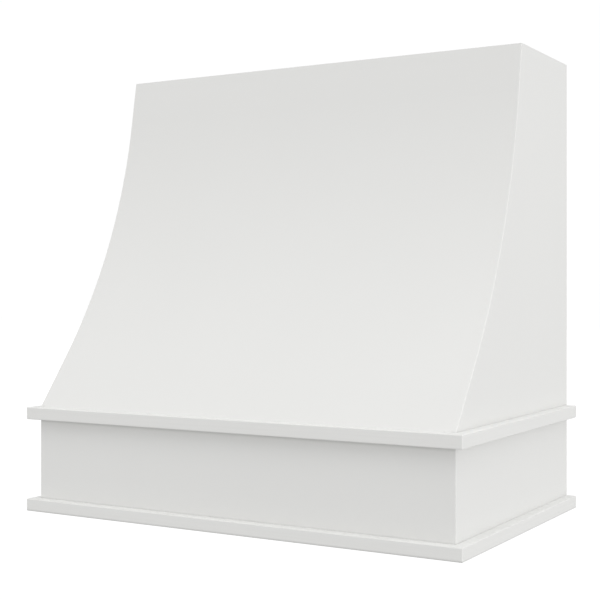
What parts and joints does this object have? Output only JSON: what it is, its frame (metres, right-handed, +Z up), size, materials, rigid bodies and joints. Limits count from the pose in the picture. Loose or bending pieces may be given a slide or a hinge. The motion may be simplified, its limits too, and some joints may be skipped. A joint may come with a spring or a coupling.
{
  "type": "wooden range hood cover",
  "caption": "White painted wooden range hood cover with a concave front, straight apron and square block trims, hung on a bevelled wall cleat.",
  "frame": {"origin": "on the wall plane, in the middle of the width, level with the underside of the apron", "axes": "+X to the right as seen from the room, +Y into the wall, +Z up; the front faces -Y"},
  "size_m": [0.9544, 0.598, 0.9144],
  "materials": {
    "painted_panel": "satin white paint on birch plywood",
    "painted_trim": "satin white paint on solid poplar",
    "bare_poplar": "sanded bare poplar",
    "bare_plywood": "sanded bare birch plywood",
    "beech_dowel": "turned beech",
    "zinc_screw": "zinc plated steel"
  },
  "bodies": {
    "wall_mount": {"wall_cleat": "bare_plywood"},
    "cover": {"curved_front_panel": "painted_panel", "side_panel_left": "painted_panel", "side_panel_right": "painted_panel", "apron_front": "painted_panel", "apron_left": "painted_panel", "apron_right": "painted_panel", "upper_trim_front": "painted_trim", "upper_trim_left": "painted_trim", "upper_trim_right": "painted_trim", "lower_trim_front": "painted_trim", "lower_trim_left": "painted_trim", "lower_trim_right": "painted_trim", "top_front_rail": "bare_poplar", "foot_rail": "bare_poplar", "hanging_rail": "bare_poplar", "body_back_rail": "bare_poplar", "apron_back_rail": "bare_poplar", "joining_strip_front": "bare_poplar", "joining_strip_left": "bare_poplar", "joining_strip_right": "bare_poplar", "ledger_front": "bare_poplar", "ledger_back": "bare_poplar", "ledger_left": "bare_poplar", "ledger_right": "bare_poplar", "corner_block_front_left": "bare_poplar", "corner_block_front_right": "bare_poplar", "corner_block_back_left": "bare_poplar", "corner_block_back_right": "bare_poplar", "front_rib_1": "bare_plywood", "front_rib_2": "bare_plywood", "rail_dowels": "beech_dowel", "pocket_screws": "zinc_screw"}
  },
  "joints": [
    {"name": "lift_off", "type": "slide", "parent": "wall_mount", "child": "cover", "axis": [0, 0, 1], "range_m": [0, 0.0254]}
  ]
}
